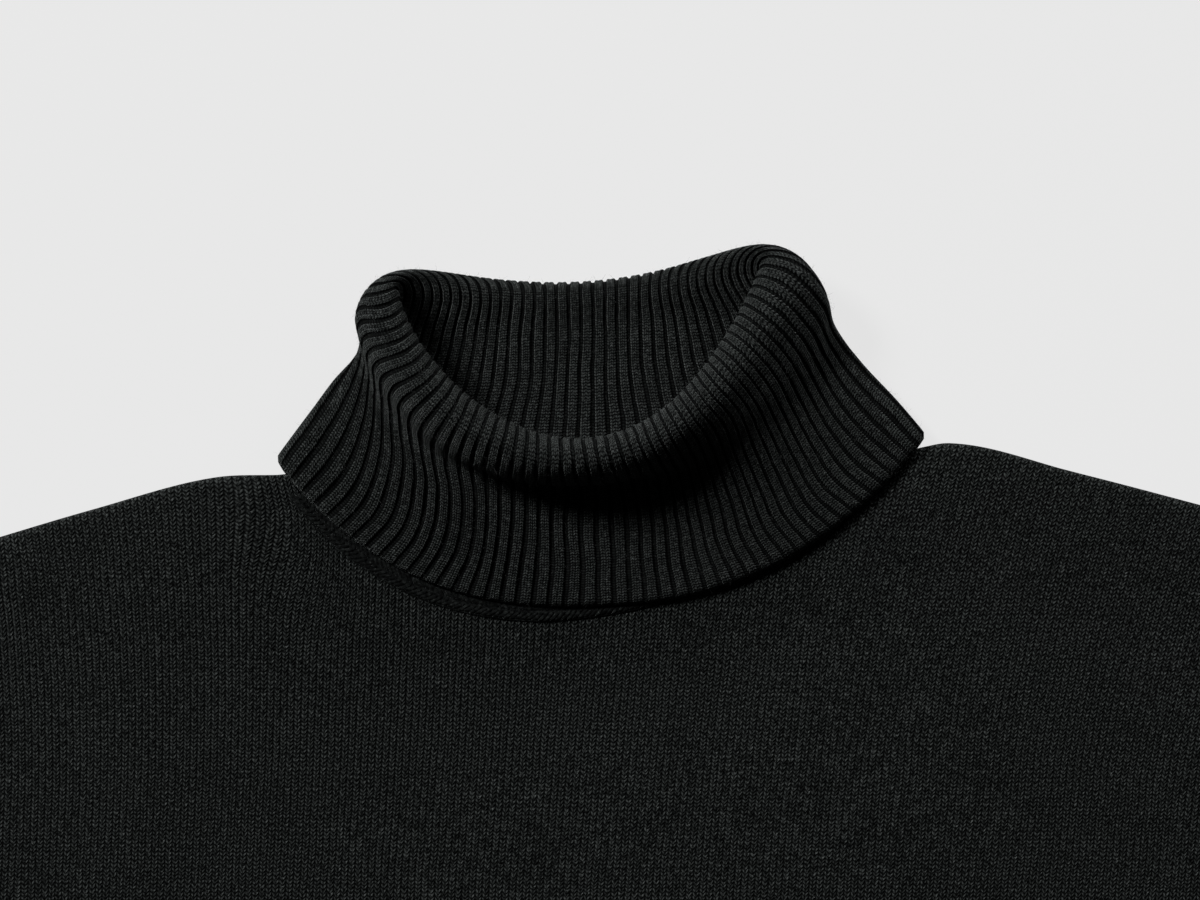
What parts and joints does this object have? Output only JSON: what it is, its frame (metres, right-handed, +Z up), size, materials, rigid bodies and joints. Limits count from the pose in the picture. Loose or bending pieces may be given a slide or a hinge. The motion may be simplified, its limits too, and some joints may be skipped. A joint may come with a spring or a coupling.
{
  "type": "turtleneck sweater",
  "caption": "Black knitted turtleneck sweater laid flat on its back, with its ribbed collar folded over into a soft open roll.",
  "frame": {"origin": "underside of the back panel, on the centre line, at the chest line that joins the underarms", "axes": "+X to the right of someone who looks down on the front, +Y up the body towards the collar, +Z up off the table"},
  "size_m": [1.2366, 0.7367, 0.0407],
  "materials": {
    "jersey": "matt black wool, stocking stitch",
    "rib": "matt black wool, two-wale rib",
    "linking": "matt black wool, slanted linking stitches"
  },
  "bodies": {
    "root": {"front_panel": "jersey", "back_panel": "jersey", "sleeve_left": "jersey", "sleeve_right": "jersey", "collar": "rib", "hem_rib": "rib", "cuff_left": "rib", "cuff_right": "rib", "neck_strip": "linking"}
  },
  "joints": []
}
